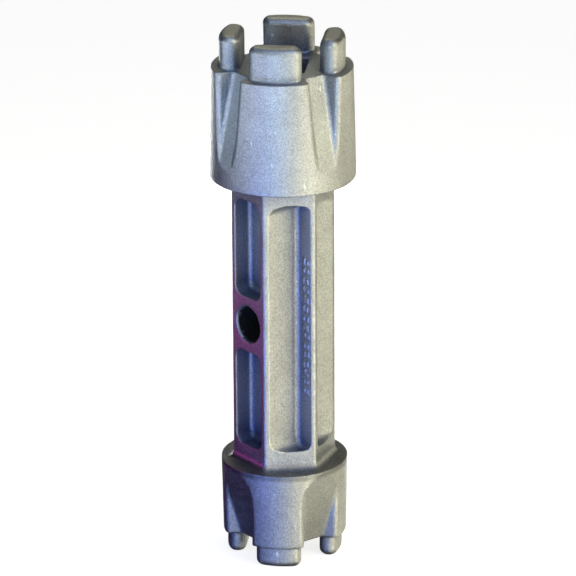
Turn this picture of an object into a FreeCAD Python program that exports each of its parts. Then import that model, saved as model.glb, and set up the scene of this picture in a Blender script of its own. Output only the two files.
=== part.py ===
import FreeCAD, Part
import Sketcher
import math
import os
from FreeCAD import Vector

# Double-ended crown wrench, one aluminium casting.  It stands on the lugs of its small end: the origin is
# in the middle of those four lug tips, +Z runs up the wrench to the large end, and the cross hole runs
# along Y.  The lugs point to 45, 135, 225 and 315 degrees, so the slots between them lie along X and Y.
# The casting is modelled in three regions that meet on flat planes: two crown heads and the hex shank.

DIMENSIONS = (
    # alias, millimetres or degrees, what it is
    ("standing_level", 0.0, "Tips of the small lugs, on which the wrench stands"),
    ("small_lug_height", 6.0, "Lugs of the small crown"),
    ("small_head_height", 20.8, "Small head, rim to shoulder"),
    ("shank_length", 78.0, "Hexagon, shoulder to shoulder"),
    ("large_head_height", 29.8, "Large head, shoulder to rim"),
    ("large_lug_height", 8.9, "Lugs of the large crown"),
    ("large_shoulder_radius", 19.05, "Large head at the shoulder: 1 1/2 in across"),
    ("large_rim_radius", 18.4, "Large head at the rim, after the casting draft"),
    ("large_lug_radius", 16.35, "Outside of the large lugs"),
    ("large_lug_inside", 10.3, "Axis to the flat inner face of a large lug"),
    ("large_slot_start", 11.24, "Axis to the inner corners beside a slot of the large crown"),
    ("large_slot_half", 2.75, "Half width of that slot at its inner corners"),
    ("large_slot_flare", 30.0, "Opening angle of one side of that slot"),
    ("large_scallop_rim", 13.2, "Axis to the scallop floor at the large rim"),
    ("large_scallop_lean", 13.1, "Lean of that floor"),
    ("large_scallop_half", 3.0, "Half width of that floor at the rim"),
    ("large_scallop_flare", 20.0, "Opening angle of one scallop wall"),
    ("large_scallop_spread", 0.0, "Angle at which each edge of that floor spreads towards the shoulder"),
    ("small_shoulder_radius", 16.7, "Small head at the shoulder"),
    ("small_rim_radius", 16.3, "Small head at the rim, after the casting draft"),
    ("small_lug_radius", 15.2, "Outside of the small lugs"),
    ("small_lug_inside", 9.7, "Axis to the flat inner face of a small lug"),
    ("small_slot_start", 10.3, "Axis to the inner corners beside a slot of the small crown"),
    ("small_slot_half", 2.8, "Half width of that slot at its inner corners"),
    ("small_slot_flare", 32.0, "Opening angle of one side of that slot"),
    ("small_scallop_rim", 12.1, "Axis to the scallop floor at the small rim"),
    ("small_scallop_lean", 12.8, "Lean of that floor"),
    ("small_scallop_half", 3.0, "Half width of that floor at the rim"),
    ("small_scallop_flare", 36.0, "Opening angle of one scallop wall"),
    ("small_scallop_spread", 9.4, "Angle at which each edge of that floor spreads towards the shoulder"),
    ("scallop_root_radius", 1.0, "Fillet between a scallop floor and its walls"),
    ("column_corner_radius", 1.5, "Rounding of the columns beside the scallops"),
    ("lug_corner_radius", 2.3, "Rounding of the upright lug edges"),
    ("lug_tip_radius", 1.9, "Rounding of the lug tips"),
    ("drive_square", 12.7, "Square drive socket: 1/2 in"),
    ("drive_depth", 18.0, "Depth of that socket"),
    ("across_flats", 23.6, "Hexagon across its flats"),
    ("hex_edge_radius", 0.8, "Rounding of the long edges of the hexagon"),
    ("collar_thickness", 0.8, "Plate at each end of the shank, flush with the head"),
    ("collar_fillet", 2.0, "Fillet from the hexagon into that plate"),
    ("recess_margin", 5.0, "Shoulder to the end of a recess"),
    ("recess_corner", 2.5, "Corner radius of the recesses"),
    ("notch_outer_corner", 4.0, "Corner radius of a corner notch on its open side"),
    ("recess_root_radius", 1.1, "Fillet around the floor of the recesses"),
    ("face_recess_half", 5.3, "Half width of the recesses beside the cross hole"),
    ("face_recess_depth", 5.0, "Depth of those recesses below the flat"),
    ("notch_inside", 7.5, "Axis to the inner side of a corner notch"),
    ("notch_outside", 14.6, "Axis to the outer side of a corner notch, clear of the hexagon"),
    ("fin_half", 1.15, "Half thickness of the fin left between two notches"),
    ("hole_pad_height", 15.3, "Full flat left around the cross hole"),
    ("cross_hole_diameter", 9.5, "Cross hole for a turning bar: 3/8 in"),
    ("cross_hole_chamfer", 0.4, "Worn edge of the cross hole"),
)

# Heights above the lug tips of the small end, as sheet formulas.
SMALL_TIP = "Dimensions.standing_level"
SMALL_RIM = f"{SMALL_TIP} + Dimensions.small_lug_height"
SMALL_SHOULDER = f"{SMALL_RIM} + Dimensions.small_head_height"
LARGE_SHOULDER = f"{SMALL_SHOULDER} + Dimensions.shank_length"
LARGE_RIM = f"{LARGE_SHOULDER} + Dimensions.large_head_height"
LARGE_TIP = f"{LARGE_RIM} + Dimensions.large_lug_height"
SMALL_COLLAR = f"{SMALL_SHOULDER} - Dimensions.collar_thickness"
LARGE_COLLAR = f"{LARGE_SHOULDER} + Dimensions.collar_thickness"
MID_SHANK = f"{SMALL_SHOULDER} + Dimensions.shank_length / 2"
CROWN_COUNT = 4         # lugs, slots and scallops on each head
CLEAR = 0.5             # millimetres that a scallop's cutting shape runs past the rim
PAST_OUTSIDE = 1.3      # how far out cutting outlines run, as a multiple of the head's radius
PAST_INSIDE = 0.8       # how far in the slots are cut, as a multiple of the distance to a lug's inner face
SAME = 1e-3             # millimetres within which two positions are the same
LONG_EDGE = 5.0         # millimetres: edges that run along a whole head or bar are taller than this
NEAR_RIM = 0.5          # millimetres: edges on the outside of a head lie this close to its rim radius

doc = FreeCAD.newDocument("CrownWrench")
sheet = doc.addObject("Spreadsheet::Sheet", "Dimensions")
for row, (alias, value, meaning) in enumerate(DIMENSIONS, start=1):
    sheet.set(f"A{row}", meaning)
    sheet.set(f"B{row}", str(value))
    sheet.setAlias(f"B{row}", alias)
doc.recompute()


def number(formula):
    """The value of a sheet formula."""
    return float(sheet.evalExpression(formula.replace("Dimensions.", "")))


def origin_part(body, role):
    """One of the body's own origin planes or axes."""
    return next(item for item in body.Origin.OriginFeatures if item.Role == role)


def feature(body, kind, name, **settings):
    """Add a PartDesign feature; text settings are sheet formulas, other settings are set as they are."""
    item = body.newObject(f"PartDesign::{kind}", name)
    for key, setting in settings.items():
        if isinstance(setting, str) and setting.find("Dimensions.") >= 0:
            item.setExpression(key, setting)
        else:
            setattr(item, key, setting)
    body.Tip = item
    doc.recompute()
    return item


def sketch_on(body, name, role, level=None):
    """An empty sketch on one of the body's origin planes, or at a level along that plane's normal."""
    sketch = body.newObject("Sketcher::SketchObject", name)
    sketch.AttachmentSupport = [(origin_part(body, role), "")]
    sketch.MapMode = "FlatFace"
    if level is not None:
        sketch.setExpression("AttachmentOffset.Base.z", level)
    return sketch


def bind(sketch, kind, *target, formula):
    """A dimensional constraint that follows a sheet formula."""
    index = sketch.addConstraint(Sketcher.Constraint(kind, *target, number(formula)))
    sketch.setExpression(f"Constraints[{index}]", formula)


def polygon(sketch, corners):
    """A closed outline; each corner is a pair of sheet formulas, or 0 where it lies on an axis."""
    points = [Vector(number(str(across)), number(str(along)), 0) for across, along in corners]
    count = len(points)
    for index in range(count):
        sketch.addGeometry(Part.LineSegment(points[index], points[(index + 1) % count]), False)
    for index in range(count):
        sketch.addConstraint(Sketcher.Constraint("Coincident", index, 2, (index + 1) % count, 1))
    for index, corner in enumerate(corners):
        for kind, axis, formula in (("DistanceX", -2, corner[0]), ("DistanceY", -1, corner[1])):
            if formula == 0:
                sketch.addConstraint(Sketcher.Constraint("PointOnObject", index, 1, axis))
            else:
                bind(sketch, kind, -1, 1, index, 1, formula=formula)
    return sketch


def rounded_rectangle(sketch, left, right, bottom, top, left_radius, right_radius):
    """A rectangle from sheet formulas for its four sides and for the corner radii at its left and right."""
    x_low, x_high, y_low, y_high = (number(side) for side in (left, right, bottom, top))
    turn_left, turn_right = number(left_radius), number(right_radius)
    first = sketch.GeometryCount
    centres = ((x_high - turn_right, y_low + turn_right, turn_right),
               (x_high - turn_right, y_high - turn_right, turn_right),
               (x_low + turn_left, y_high - turn_left, turn_left),
               (x_low + turn_left, y_low + turn_left, turn_left))
    for quarter, (x, y, turn) in enumerate(centres):
        corner = Part.Circle(Vector(x, y, 0), Vector(0, 0, 1), turn)
        start = (quarter - 1) * math.pi / 2
        sketch.addGeometry(Part.ArcOfCircle(corner, start, start + math.pi / 2), False)
    for quarter in range(4):
        arc_end = sketch.getPoint(first + quarter, 2)
        next_start = sketch.getPoint(first + (quarter + 1) % 4, 1)
        sketch.addGeometry(Part.LineSegment(arc_end, next_start), False)
    for quarter in range(4):
        side = first + 4 + quarter
        sketch.addConstraint(Sketcher.Constraint("Tangent", first + quarter, 2, side, 1))
        sketch.addConstraint(Sketcher.Constraint("Tangent", side, 2, first + (quarter + 1) % 4, 1))
        sketch.addConstraint(Sketcher.Constraint("Vertical" if quarter % 2 == 0 else "Horizontal", side))
    for lower, upper, radius in ((first, first + 1, right_radius), (first + 3, first + 2, left_radius)):
        sketch.addConstraint(Sketcher.Constraint("Equal", lower, upper))
        bind(sketch, "Radius", lower, formula=radius)
    bind(sketch, "DistanceX", -1, 1, first + 4, 1, formula=right)
    bind(sketch, "DistanceY", -1, 1, first + 5, 1, formula=top)
    bind(sketch, "DistanceX", -1, 1, first + 6, 1, formula=left)
    bind(sketch, "DistanceY", -1, 1, first + 7, 1, formula=bottom)
    return sketch


def circle(sketch, radius):
    """A circle around the sketch's own origin."""
    sketch.addGeometry(Part.Circle(Vector(0, 0, 0), Vector(0, 0, 1), number(radius)), False)
    sketch.addConstraint(Sketcher.Constraint("Coincident", 0, 3, -1, 1))
    bind(sketch, "Radius", 0, formula=radius)
    return sketch


def diamond(sketch, half_side):
    """A square around the origin whose sides face the lugs and whose corners point into the slots."""
    corner = f"({half_side}) * sqrt(2)"
    return polygon(sketch, ((corner, 0), (0, corner), (f"-{corner}", 0), (0, f"-{corner}")))


def around(body, original, name):
    """Repeat a feature four times around the wrench's axis."""
    axis = (origin_part(body, "Z_Axis"), [""])
    return feature(body, "PolarPattern", name, Originals=[original], Axis=axis, Angle=360.0,
                   Occurrences=CROWN_COUNT)


def edges(item, test):
    """Names of the edges of a feature's shape that pass a test."""
    return [f"Edge{index}" for index, edge in enumerate(item.Shape.Edges, start=1) if test(edge)]


def rounded(body, base, name, radius, test):
    """Fillet the edges of a feature that pass a test."""
    return feature(body, "Fillet", name, Base=(base, edges(base, test)), Radius=radius)


def heights(edge):
    """Lowest and highest point of an edge."""
    box = edge.BoundBox
    return box.ZMin, box.ZMax


def at_level(edge, formula):
    """Whether an edge lies flat at a level."""
    return all(abs(height - number(formula)) < SAME for height in heights(edge))


def reach(edge):
    """Distance of an edge's middle from the wrench's axis."""
    middle = edge.valueAt((edge.FirstParameter + edge.LastParameter) / 2)
    return Vector(middle.x, middle.y, 0).Length


def crown_head(label, size, collar, rim, tip, shoulder):
    """A head: a drafted round blank with four scallops, a crown of four lugs and a square drive socket."""
    body = doc.addObject("PartDesign::Body", label)
    outward = 1 if number(tip) > number(rim) else -1
    up = outward > 0
    low, high = sorted((number(rim), number(tip)))

    def dim(name):
        return f"Dimensions.{size}_{name}"

    profile = sketch_on(body, f"{size}_blank_profile", "XZ_Plane")
    polygon(profile, ((0, collar), (dim("shoulder_radius"), collar), (dim("rim_radius"), rim), (0, rim)))
    feature(body, "Revolution", f"{size}_blank", Profile=profile, ReferenceAxis=(profile, ["V_Axis"]),
            Angle=360.0)

    # One scallop: a leaning flat floor between two flared walls, from just past the rim to the shoulder.
    mouth = f"{dim('shoulder_radius')} * {PAST_OUTSIDE}"
    sections = []
    for level, travel in ((f"({rim}) + {outward * CLEAR}", f"-{CLEAR}"), (shoulder, dim("head_height"))):
        floor = f"{dim('scallop_rim')} + ({travel}) * tan({dim('scallop_lean')} * 1 deg)"
        half = f"{dim('scallop_half')} + ({travel}) * tan({dim('scallop_spread')} * 1 deg)"
        mouth_half = f"{half} + ({mouth} - ({floor})) * tan({dim('scallop_flare')} * 1 deg)"
        section = sketch_on(body, f"{size}_scallop_section_{len(sections) + 1}", "XY_Plane", level)
        polygon(section, ((floor, f"-({half})"), (mouth, f"-({mouth_half})"),
                          (mouth, mouth_half), (floor, half)))
        sections.append(section)
    scallop = feature(body, "SubtractiveLoft", f"{size}_scallop", Profile=sections[0],
                      Sections=[sections[1]], Ruled=True)
    scallops = around(body, scallop, f"{size}_scallops")

    rim_radius = number(dim("rim_radius"))

    def upright(edge, nearest, farthest):
        return edge.BoundBox.ZLength > LONG_EDGE and nearest < reach(edge) < farthest

    def scallop_root(edge):
        return upright(edge, 0, rim_radius - NEAR_RIM)

    def column_corner(edge):
        seam = edge.Curve.TypeId == "Part::GeomLine"
        return upright(edge, rim_radius - NEAR_RIM, rim_radius + NEAR_RIM) and not seam

    roots = rounded(body, scallops, f"{size}_scallop_roots", "Dimensions.scallop_root_radius", scallop_root)
    columns = rounded(body, roots, f"{size}_columns", "Dimensions.column_corner_radius", column_corner)

    # The crown: a disc on the rim, opened in the middle and at four flared slots.
    disc_profile = circle(sketch_on(body, f"{size}_crown_outline", "XY_Plane", rim), dim("lug_radius"))
    feature(body, "Pad", f"{size}_crown", Profile=disc_profile, Length=dim("lug_height"), Reversed=not up)
    middle = diamond(sketch_on(body, f"{size}_crown_middle", "XY_Plane", rim), dim("lug_inside"))
    feature(body, "Pocket", f"{size}_crown_opening", Profile=middle, Length=dim("lug_height"), Reversed=up)
    inner = f"{dim('lug_inside')} * {PAST_INSIDE}"
    inner_half = f"{dim('slot_half')} - ({dim('slot_start')} - {inner}) * tan({dim('slot_flare')} * 1 deg)"
    outer_half = f"{dim('slot_half')} + ({mouth} - {dim('slot_start')}) * tan({dim('slot_flare')} * 1 deg)"
    slot_outline = sketch_on(body, f"{size}_slot_outline", "XY_Plane", rim)
    polygon(slot_outline, ((inner, f"-({inner_half})"), (mouth, f"-({outer_half})"),
                           (mouth, outer_half), (inner, inner_half)))
    slot = feature(body, "Pocket", f"{size}_slot", Profile=slot_outline, Length=dim("lug_height"),
                   Reversed=up)
    slots = around(body, slot, f"{size}_slots")

    def lug_edge(edge):
        low_end, high_end = heights(edge)
        return abs(low_end - low) < SAME and abs(high_end - high) < SAME

    def lug_tip(edge):
        return at_level(edge, tip)

    uprights = rounded(body, slots, f"{size}_lug_edges", "Dimensions.lug_corner_radius", lug_edge)
    rounded(body, uprights, f"{size}_lug_tips", "Dimensions.lug_tip_radius", lug_tip)
    socket_outline = diamond(sketch_on(body, f"{size}_drive_outline", "XY_Plane", rim),
                             "Dimensions.drive_square / 2")
    feature(body, "Pocket", f"{size}_drive_socket", Profile=socket_outline, Length="Dimensions.drive_depth",
            Reversed=not up)
    return body


def recess_cores():
    """The cores that leave the shank's recesses: two corner notches and two face recesses on each side."""
    body = doc.addObject("PartDesign::Body", "recess_cores")
    body.AllowCompound = True
    low_end = f"{SMALL_SHOULDER} + Dimensions.recess_margin"
    high_end = f"{LARGE_SHOULDER} - Dimensions.recess_margin"
    near, far = "Dimensions.notch_inside", "Dimensions.notch_outside"
    half_width, half_pad = "Dimensions.face_recess_half", "Dimensions.hole_pad_height / 2"
    round_corner, open_corner = "Dimensions.recess_corner", "Dimensions.notch_outer_corner"
    fin_side = "Dimensions.fin_half"
    panel_floor = "Dimensions.across_flats / 2 - Dimensions.face_recess_depth"
    outlines = (
        ("right_notch", fin_side, near, far, low_end, high_end, round_corner, open_corner),
        ("left_notch", fin_side, f"-{far}", f"-{near}", low_end, high_end, open_corner, round_corner),
        ("lower_recess", panel_floor, f"-{half_width}", half_width, low_end, f"{MID_SHANK} - {half_pad}",
         round_corner, round_corner),
        ("upper_recess", panel_floor, f"-{half_width}", half_width, f"{MID_SHANK} + {half_pad}", high_end,
         round_corner, round_corner),
    )
    for side, sign in (("near", ""), ("far", "-")):
        for name, floor, *outline in outlines:
            sketch = sketch_on(body, f"{side}_{name}_outline", "XZ_Plane", f"{sign}({floor})")
            rounded_rectangle(sketch, *outline)
            core = feature(body, "Pad", f"{side}_{name}", Profile=sketch, Length="Dimensions.across_flats",
                           Reversed=side == "far")

    def floor_edge(edge):
        box = edge.BoundBox
        return box.YLength < SAME and abs(box.Center.y) < number(panel_floor) + SAME

    rounded(body, core, "core_edges", "Dimensions.recess_root_radius", floor_edge)
    return body


def hex_shank():
    """The hexagon between the heads, with its end plates, recesses, fins and cross hole."""
    body = doc.addObject("PartDesign::Body", "hex_shank")
    flat = "Dimensions.across_flats / 2"
    corner = "Dimensions.across_flats / sqrt(3)"
    outline = sketch_on(body, "hexagon", "XY_Plane", SMALL_COLLAR)
    polygon(outline, ((corner, 0), (f"{corner} / 2", flat), (f"-{corner} / 2", flat),
                      (f"-{corner}", 0), (f"-{corner} / 2", f"-{flat}"), (f"{corner} / 2", f"-{flat}")))
    bar = feature(body, "Pad", "bar", Profile=outline,
                  Length="Dimensions.shank_length + 2 * Dimensions.collar_thickness")
    bar = rounded(body, bar, "bar_edges", "Dimensions.hex_edge_radius",
                  lambda edge: edge.BoundBox.ZLength > LONG_EDGE)
    for name, level, radius in (("small_collar", SMALL_COLLAR, "Dimensions.small_shoulder_radius"),
                                ("large_collar", LARGE_SHOULDER, "Dimensions.large_shoulder_radius")):
        plate = circle(sketch_on(body, f"{name}_outline", "XY_Plane", level), radius)
        bar = feature(body, "Pad", name, Profile=plate, Length="Dimensions.collar_thickness")

    def collar_root(edge):
        on_plate = at_level(edge, SMALL_SHOULDER) or at_level(edge, LARGE_SHOULDER)
        return on_plate and reach(edge) < number(corner) + SAME

    rounded(body, bar, "collar_roots", "Dimensions.collar_fillet", collar_root)

    feature(body, "Boolean", "recesses", Type="Cut", Group=[recess_cores()])
    hole_outline = sketch_on(body, "cross_hole_outline", "XZ_Plane")
    hole_radius = "Dimensions.cross_hole_diameter / 2"
    hole_circle = Part.Circle(Vector(0, number(MID_SHANK), 0), Vector(0, 0, 1), number(hole_radius))
    hole_outline.addGeometry(hole_circle, False)
    hole_outline.addConstraint(Sketcher.Constraint("PointOnObject", 0, 3, -2))
    bind(hole_outline, "DistanceY", -1, 1, 0, 3, formula=MID_SHANK)
    bind(hole_outline, "Radius", 0, formula=hole_radius)
    hole = feature(body, "Pocket", "cross_hole", Profile=hole_outline, Midplane=True,
                   Length="Dimensions.across_flats * 2")

    def hole_rim(edge):
        box = edge.BoundBox
        on_flat = box.YLength < SAME and abs(abs(box.Center.y) - number(flat)) < SAME
        return on_flat and abs(box.XLength - number("Dimensions.cross_hole_diameter")) < SAME

    feature(body, "Chamfer", "cross_hole_edges", Base=(hole, edges(hole, hole_rim)),
            Size="Dimensions.cross_hole_chamfer")
    return body


parts = (
    crown_head("small_crown_head", "small", SMALL_COLLAR, SMALL_RIM, SMALL_TIP, SMALL_SHOULDER),
    hex_shank(),
    crown_head("large_crown_head", "large", LARGE_COLLAR, LARGE_RIM, LARGE_TIP, LARGE_SHOULDER),
)
doc.recompute()
for item in doc.Objects:
    if {"Invalid", "Error"} & set(item.State):
        raise RuntimeError(f"{item.Label} is {item.State}")
os.makedirs("parts", exist_ok=True)
for part in parts:
    if part.Shape.isNull() or not part.Shape.isValid() or len(part.Shape.Solids) != 1:
        raise RuntimeError(f"{part.Label} is not one valid solid")
    part.Shape.exportStep(f"parts/{part.Label}.step")
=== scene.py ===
import math
import random

import bmesh
import bpy
import numpy as np
from mathutils import Matrix, Vector, noise


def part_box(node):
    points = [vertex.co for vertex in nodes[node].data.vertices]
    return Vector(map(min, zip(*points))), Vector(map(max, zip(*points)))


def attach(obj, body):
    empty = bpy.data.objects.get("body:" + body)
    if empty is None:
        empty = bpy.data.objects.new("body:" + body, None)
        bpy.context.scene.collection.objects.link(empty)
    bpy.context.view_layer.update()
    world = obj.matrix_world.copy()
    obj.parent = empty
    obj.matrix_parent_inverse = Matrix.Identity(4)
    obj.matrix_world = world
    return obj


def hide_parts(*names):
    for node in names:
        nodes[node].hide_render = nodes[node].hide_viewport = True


# A double-ended crown wrench, cast in one piece of aluminium and standing on its small end.
# The three CAD solids are skinned as one casting, softened and roughened, then cut again at the two flat
# planes where the solids meet, so that each region stays a piece of its own with no step between them.
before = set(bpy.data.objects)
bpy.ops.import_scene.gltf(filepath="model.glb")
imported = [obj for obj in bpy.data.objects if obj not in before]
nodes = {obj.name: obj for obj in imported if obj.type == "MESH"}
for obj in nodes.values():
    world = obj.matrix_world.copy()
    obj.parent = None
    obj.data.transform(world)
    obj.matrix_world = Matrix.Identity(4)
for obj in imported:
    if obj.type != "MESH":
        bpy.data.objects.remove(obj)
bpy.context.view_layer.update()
MM = 0.001

SMALL, SHANK, LARGE = "small_crown_head", "hex_shank", "large_crown_head"
SMALL_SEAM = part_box(SHANK)[0].z
LARGE_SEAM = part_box(SHANK)[1].z
MID_SHANK = 65.8 * MM           # height of the cross hole
HOLE_RADIUS = 4.75 * MM
FLAT = 11.8 * MM                # axis to the flats of the hexagon
FIN_FACE = 1.15 * MM            # parting plane to the face of a fin

VOXEL = 0.25 * MM
SKIN_SHARE = 0.42               # share of the skin's triangles that is kept


def add_object(name, mesh):
    made = bpy.data.objects.new(name, mesh)
    bpy.context.scene.collection.objects.link(made)
    return made


def apply_modifier(obj, kind, **settings):
    """Put one modifier's result in the place of an object's mesh."""
    modifier = obj.modifiers.new(kind, kind)
    for key, setting in settings.items():
        setattr(modifier, key, setting)
    graph = bpy.context.evaluated_depsgraph_get()
    mesh = bpy.data.meshes.new_from_object(obj.evaluated_get(graph))
    obj.modifiers.clear()
    old = obj.data
    obj.data = mesh
    bpy.data.meshes.remove(old)


def add_block(work, low, high):
    """A block between two opposite corners."""
    middle = (Vector(low) + Vector(high)) / 2
    size = Vector(high) - Vector(low)
    place = Matrix.Translation(middle) @ Matrix.Diagonal((*size, 1))
    bmesh.ops.create_cube(work, size=1, matrix=place)


def raised_marks(work):
    """Two lines of small plain pads of uneven length, half sunk into the fin beside the front recess."""
    choose = random.Random(11)
    count, pitch, proud = 15, 2.55 * MM, 0.36 * MM
    inner_line, outer_line = 10.4 * MM, 11.7 * MM
    for step in range(count):
        for line in (inner_line, outer_line):
            x = line + choose.uniform(-0.2, 0.2) * MM
            z = MID_SHANK + (step - (count - 1) / 2) * pitch + choose.uniform(-0.3, 0.3) * MM
            half = choose.uniform(0.22, 0.36) * MM
            reach = choose.uniform(0.5, 1.0) * MM
            low = (x - half, -FIN_FACE - proud, z - reach)
            high = (x + half, -FIN_FACE + proud, z + reach)
            add_block(work, low, high)


def casting_skin():
    """One closed skin around the three solids, with its sharp edges softened."""
    mesh = bpy.data.meshes.new("skin")
    gathered = bmesh.new()
    for node in (SMALL, SHANK, LARGE):
        gathered.from_mesh(nodes[node].data)
    raised_marks(gathered)
    gathered.to_mesh(mesh)
    gathered.free()
    skin = add_object("skin", mesh)
    apply_modifier(skin, "REMESH", mode="VOXEL", voxel_size=VOXEL)
    apply_modifier(skin, "SMOOTH", factor=0.5, iterations=3)
    apply_modifier(skin, "DECIMATE", ratio=SKIN_SHARE)
    return skin


def roughen(skin):
    """Press the unevenness of a sand casting into the skin: waves, small dimples and a few pits."""
    waves, dimples = (7 * MM, 0.07 * MM), (1.8 * MM, 0.035 * MM)    # size and depth
    rim_width, rim_depth, rim_grain = 0.5 * MM, 0.3 * MM, 1.3 * MM
    pit_count, pit_share = 24, 0.045                                # depth as a share of a pit's radius
    mesh = skin.data
    count = len(mesh.vertices)
    places = np.empty(count * 3)
    mesh.vertices.foreach_get("co", places)
    places = places.reshape(-1, 3)
    normals = np.array([normal.vector for normal in mesh.vertex_normals])
    depth = np.zeros(count)
    for size, amount in (waves, dimples):
        depth += [amount * (0.5 + 0.5 * noise.noise(Vector(place) / size)) for place in places]
    # The rim of the cross hole is a little ragged.
    from_axis = np.hypot(places[:, 0], places[:, 2] - MID_SHANK)
    near_face = np.abs(places[:, 1]) > FLAT - 1.2 * MM
    rim = np.exp(-((from_axis - HOLE_RADIUS) / rim_width) ** 2) * near_face
    for index in np.flatnonzero(rim > 0.05):
        bite = noise.noise(Vector(places[index]) / rim_grain) + 0.1
        depth[index] += rim[index] * rim_depth * max(0, bite)
    choose = random.Random(7)
    for _ in range(pit_count):
        centre = places[choose.randrange(count)]
        radius = choose.uniform(0.5, 1.1) * MM
        away = np.linalg.norm(places - centre, axis=1)
        depth += pit_share * radius * np.exp(-(away / radius) ** 2)
    places -= normals * depth[:, None]
    mesh.vertices.foreach_set("co", places.ravel())
    mesh.update()


def cut_piece(skin, name, low, high):
    """The part of the skin between two heights, closed at the cuts."""
    work = bmesh.new()
    work.from_mesh(skin.data)
    for level, outside in ((low, -1), (high, 1)):
        if level is None:
            continue
        geometry = work.verts[:] + work.edges[:] + work.faces[:]
        cut = bmesh.ops.bisect_plane(work, geom=geometry, dist=1e-8, plane_co=(0, 0, level),
                                     plane_no=(0, 0, outside), clear_outer=True)
        rim = [item for item in cut["geom_cut"] if isinstance(item, bmesh.types.BMEdge)]
        caps = bmesh.ops.edgeloop_fill(work, edges=rim)["faces"]
        bmesh.ops.triangulate(work, faces=caps)
        for edge in rim:
            edge.smooth = False
    bmesh.ops.recalc_face_normals(work, faces=work.faces[:])
    for face in work.faces:
        face.smooth = True
    mesh = bpy.data.meshes.new(name)
    work.to_mesh(mesh)
    work.free()
    return add_object(name, mesh)


class Nodes:
    """Short calls for building a node tree; an input is a socket or a plain value."""

    def __init__(self, tree):
        self.tree = tree

    def add(self, kind, inputs=(), output=0, **settings):
        node = self.tree.nodes.new(f"ShaderNode{kind}")
        for key, setting in settings.items():
            setattr(node, key, setting)
        pairs = inputs.items() if isinstance(inputs, dict) else enumerate(inputs)
        for key, value in pairs:
            if isinstance(value, bpy.types.NodeSocket):
                self.tree.links.new(value, node.inputs[key])
            else:
                node.inputs[key].default_value = value
        return node.outputs[output]

    def math(self, operation, *values):
        return self.add("Math", values, operation=operation)

    def dim(self, value, mask, share):
        """The value, lowered by that share of itself where the mask is one."""
        return self.math("MULTIPLY", value, self.math("SUBTRACT", 1.0, self.math("MULTIPLY", mask, share)))

    def noise(self, place, scale, detail, rough):
        return self.add("TexNoise", {"Vector": place, "Scale": scale, "Detail": detail, "Roughness": rough})

    def step(self, value, low, high, start=0.0, end=1.0):
        """A smooth ramp of value from start, at low, to end, at high."""
        ends = {"Value": value, "From Min": low, "From Max": high, "To Min": start, "To Max": end}
        return self.add("MapRange", ends, interpolation_type="SMOOTHSTEP")

    def mix(self, factor, low, high):
        return self.add("Mix", {"Factor": factor, 6: low, 7: high}, output=2, data_type="RGBA")


def hole_shade_mask(n, x, y, up):
    """Painted shade, one on the wall of the cross hole, fading out at its mouths; up is the height above
    its axis.
    """
    from_axis = n.math("SQRT", n.math("ADD", n.math("MULTIPLY", x, x), n.math("MULTIPLY", up, up)))
    within = n.step(from_axis, HOLE_RADIUS + 0.25 * MM, HOLE_RADIUS + 0.05 * MM)
    deep = n.step(n.math("ABSOLUTE", y), FLAT - 0.2 * MM, FLAT - 1.0 * MM)
    return n.math("MULTIPLY", within, deep)


def foot_shade_mask(n, z, clouds):
    """One in the cloudy band of painted shade where the shank rises from the shoulder of the small head."""
    from_shoulder = n.math("ABSOLUTE", n.math("SUBTRACT", z, SMALL_SEAM + 0.6 * MM))
    cloudy = n.math("ADD", from_shoulder, n.math("MULTIPLY", clouds, 1.2 * MM))
    return n.step(cloudy, 2.4 * MM, 1.2 * MM)


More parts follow.
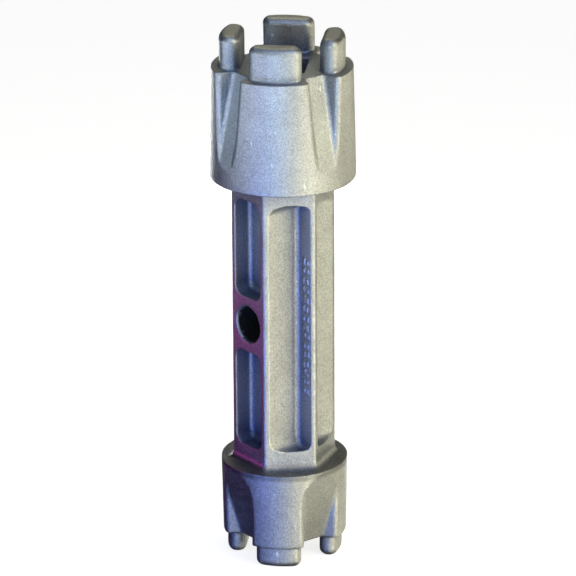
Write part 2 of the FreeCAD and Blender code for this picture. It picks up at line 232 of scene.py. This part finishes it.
def aluminium():
    """Blasted cast aluminium: fine grain, painted dark blue shade in the hollows, painted shade in the
    creases, the cross hole and the shank's foot, and painted highlights on the edges.
    """
    # The lighter metal is a painted highlight for the edges.
    open_metal, highlight_metal = (0.42, 0.426, 0.44, 1), (0.64, 0.65, 0.665, 1)
    # A slate blue, painted into the hollows as their shade.
    blue_shade_metal = (0.22, 0.29, 0.52, 1)
    hollow_reach, grain_depth = 9 * MM, 0.12 * MM
    material = bpy.data.materials.new("cast_aluminium")
    material.use_nodes = True
    tree = material.node_tree
    shader = tree.nodes["Principled BSDF"]
    shader.inputs["Metallic"].default_value = 1.0
    n = Nodes(tree)
    place = n.add("TexCoord", output="Object")
    x, y, z = (n.add("SeparateXYZ", (place,), output=axis) for axis in "XYZ")

    # Where things are: three sizes of noise, and the edges, creases, hollows, cross hole and shank's foot
    # that get painted highlight or painted shade.
    grain = n.noise(place, scale=2600, detail=3.0, rough=0.6)
    grit = n.noise(place, scale=1100, detail=2.0, rough=0.55)
    clouds = n.noise(place, scale=120, detail=3.0, rough=0.6)
    pointed = n.add("NewGeometry", output="Pointiness")
    # Painted highlight on the sharper edges.
    edge_highlight = n.step(pointed, 0.57, 0.65)
    # Painted shade in the creases.
    crease_shade = n.step(pointed, 0.48, 0.42)
    open_sky = n.add("AmbientOcclusion", {"Distance": hollow_reach}, output="AO", samples=6)
    # Painted shade inside the cross hole, which is also made rougher there.
    hole_shade = hole_shade_mask(n, x, y, n.math("SUBTRACT", z, MID_SHANK))
    # Painted shade in a cloudy band at the foot of the shank.
    foot_shade = foot_shade_mask(n, z, clouds)

    tone = n.math("MULTIPLY", n.step(grain, 0.3, 0.7, 0.76, 1.18), n.step(clouds, 0.3, 0.7, 0.93, 1.05))
    # Painted shade: the colour is darker where the ambient occlusion finds the surface closed in.
    tone = n.math("MULTIPLY", tone, n.step(open_sky, 0.20, 0.95, 0.46, 1.0))
    # Painted shade in the creases, inside the cross hole and at the shank's foot.
    for mask, share in ((crease_shade, 0.35), (hole_shade, 0.9), (foot_shade, 0.40)):
        tone = n.dim(tone, mask, share)
    # Painted highlight: the sharper edges get the lighter metal.
    body = n.mix(edge_highlight, open_metal, highlight_metal)
    # Painted shade: the closed-in hollows turn slate blue.
    body = n.mix(n.step(open_sky, 0.80, 0.30, 0.0, 0.85), body, blue_shade_metal)
    colour = n.add("VectorMath", {0: body, "Scale": tone}, operation="SCALE")
    tree.links.new(colour, shader.inputs["Base Color"])

    rough = n.step(grit, 0.3, 0.7, 0.46, 0.60)
    rough = n.math("ADD", rough, n.math("MULTIPLY", hole_shade, 0.3))
    rough = n.math("SUBTRACT", rough, n.math("MULTIPLY", edge_highlight, 0.08))
    tree.links.new(rough, shader.inputs["Roughness"])

    height = n.math("ADD", n.math("MULTIPLY", grain, 0.6), grit)
    bump = n.add("Bump", {"Strength": 0.55, "Distance": grain_depth, "Height": height}, output="Normal")
    tree.links.new(bump, shader.inputs["Normal"])
    return material


skin = casting_skin()
roughen(skin)
metal = aluminium()
for name, node, low, high in (("small_head_skin", SMALL, None, SMALL_SEAM),
                              ("shank_skin", SHANK, SMALL_SEAM, LARGE_SEAM),
                              ("large_head_skin", LARGE, LARGE_SEAM, None)):
    piece = cut_piece(skin, name, low, high)
    piece.data.materials.append(metal)
    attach(piece, "root")
    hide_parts(node)
bpy.data.objects.remove(skin)


def stage_bowl():
    """The stage: a plain pale floor that curves up into a wall all round."""
    steps, bend_steps = 96, 12
    flat, bend, wall = 3.2, 1.2, 3.0        # radius of the floor, radius of its curve, height of the wall
    profile = [(flat * share, 0.0) for share in (0.02, 0.1, 0.3, 0.6, 1.0)]
    for step in range(1, bend_steps + 1):
        turn = math.pi / 2 * step / bend_steps
        profile.append((flat + bend * math.sin(turn), bend * (1 - math.cos(turn))))
    profile.append((flat + bend, wall))
    work = bmesh.new()
    centre = work.verts.new((0, 0, 0))
    around = [2 * math.pi * step / steps for step in range(steps)]
    rings = [[work.verts.new((radius * math.cos(turn), radius * math.sin(turn), height)) for turn in around]
             for radius, height in profile]
    for step in range(steps):
        after = (step + 1) % steps
        work.faces.new((centre, rings[0][step], rings[0][after]))
        for inner, outer in zip(rings, rings[1:]):
            work.faces.new((inner[step], outer[step], outer[after], inner[after]))
    for face in work.faces:
        face.smooth = True
    mesh = bpy.data.meshes.new("stage_floor")
    work.to_mesh(mesh)
    work.free()
    bowl = add_object("stage_floor", mesh)
    material = bpy.data.materials.new("pale_floor")
    material.use_nodes = True
    shader = material.node_tree.nodes["Principled BSDF"]
    shader.inputs["Base Color"].default_value = (0.4, 0.4, 0.4, 1)
    shader.inputs["Roughness"].default_value = 0.9
    shader.inputs["Specular IOR Level"].default_value = 0.0
    shader.inputs["Emission Color"].default_value = (1, 1, 1, 1)
    shader.inputs["Emission Strength"].default_value = 0.8
    mesh.materials.append(material)
    bowl.visible_glossy = False
    bowl.visible_shadow = False


stage_bowl()

# A ring of soft panels, close in and tinted: cream on the right, pale blue in front, and deep blue and
# violet on the left.
CAMERA_AZIMUTH = math.radians(52.5)
TOP_AIM = 100 * MM              # height at which the panels above are aimed; the others shine level
WHITE, CREAM = (1.0, 0.99, 0.98), (1.0, 0.96, 0.69)
SKY, DUSK, BLUE = (0.59, 0.81, 1.0), (0.42, 0.59, 1.0), (0.19, 0.30, 1.0)
VIOLET = (1.0, 0.08, 0.65)
# A kind of panel is its distance from the axis, its width and its height, in metres.
NEAR, FAR = (0.16, 0.07, 0.05), (0.25, 0.14, 0.12)
BEHIND, ABOVE = (0.30, 0.20, 0.07), (0.20, 0.25, 0.25)


def soft_light(name, azimuth, height, kind, tint, strength, spread=180):
    """A rectangle of even glow that faces the wrench's axis and that the camera doesn't see.

    The azimuth is counted in degrees from the camera's side and to the right. The strength is the panel's
    own brightness, whatever its size. The spread is the beam's, in degrees.
    """
    distance, width, tall = kind
    turn = CAMERA_AZIMUTH + math.radians(azimuth)
    place = Vector((distance * math.sin(turn), -distance * math.cos(turn), height))
    aim = Vector((0, 0, TOP_AIM if kind == ABOVE else height))
    data = bpy.data.lights.new(name, "AREA")
    data.shape = "RECTANGLE"
    data.size, data.size_y = width, tall
    data.spread = math.radians(spread)
    data.color = tint
    data.energy = math.pi * width * tall * strength
    lamp = bpy.data.objects.new(name, data)
    turned = (aim - place).to_track_quat("-Z", "Y").to_matrix().to_4x4()
    lamp.matrix_world = Matrix.Translation(place) @ turned
    lamp.visible_camera = False
    bpy.context.scene.collection.objects.link(lamp)


def light_the_ring():
    soft_light("left_violet", -95, 0.05, NEAR, VIOLET, 0.17, 40)
    soft_light("left_rim", -75, 0.13, NEAR, SKY, 0.56, 60)
    soft_light("left_upper", -50, 0.13, NEAR, WHITE, 0.58, 60)
    soft_light("left_blue", -35, 0.02, NEAR, BLUE, 9.0)
    soft_light("front", -10, 0.12, NEAR, SKY, 1.0, 60)
    soft_light("front_low", -8, -0.05, FAR, DUSK, 2.8)
    soft_light("front_warm", 15, -0.03, FAR, CREAM, 1.7)
    for height, strength in ((-0.02, 7.4), (0.22, 10.4)):
        soft_light("right_front", 45, height, FAR, CREAM, strength)
    for height, strength in ((-0.14, 1.2), (0.08, 2.2)):
        soft_light("right", 80, height, FAR, CREAM, strength)
    for height, strength in ((-0.14, 3.1), (0.10, 2.4)):
        soft_light("right_back", 120, height, FAR, CREAM, strength)
    soft_light("back", -165, 0.015, BEHIND, WHITE, 9.2)
    soft_light("back_low", 165, -0.07, BEHIND, WHITE, 7.0)
    soft_light("top_front", 0, 0.40, ABOVE, DUSK, 2.2)
    soft_light("top_back", 180, 0.40, ABOVE, CREAM, 1.25)


light_the_ring()


def set_camera():
    """The photograph's view: a long lens about 1.24 m away, looking down at 20 degrees, slightly rolled."""
    elevation, distance, roll = math.radians(20.331), 1.2356, math.radians(0.332)
    aim_right, aim_up = 1.157 * MM, 1.263 * MM      # aim, from the middle of the wrench
    back = Vector((math.sin(CAMERA_AZIMUTH) * math.cos(elevation),
                   -math.cos(CAMERA_AZIMUTH) * math.cos(elevation), math.sin(elevation)))
    right = Vector((math.cos(CAMERA_AZIMUTH), math.sin(CAMERA_AZIMUTH), 0))
    up = back.cross(right)
    rolled_right = right * math.cos(roll) - up * math.sin(roll)
    rolled_up = up * math.cos(roll) + right * math.sin(roll)
    middle = Vector((0, 0, 72 * MM))
    place = middle + back * distance
    aim = middle + rolled_right * aim_right + rolled_up * aim_up
    look_back = (place - aim).normalized()
    look_right = (rolled_right - look_back * rolled_right.dot(look_back)).normalized()
    look_up = look_back.cross(look_right)
    data = bpy.data.cameras.new("camera")
    data.lens = 295.4
    data.sensor_width = 36
    data.clip_start, data.clip_end = 0.05, 50
    camera = bpy.data.objects.new("camera", data)
    axes = Matrix((look_right, look_up, look_back)).transposed()
    camera.matrix_world = Matrix.Translation(place) @ axes.to_4x4()
    bpy.context.scene.collection.objects.link(camera)
    bpy.context.scene.camera = camera


set_camera()
bpy.context.scene.view_settings.view_transform = "Standard"
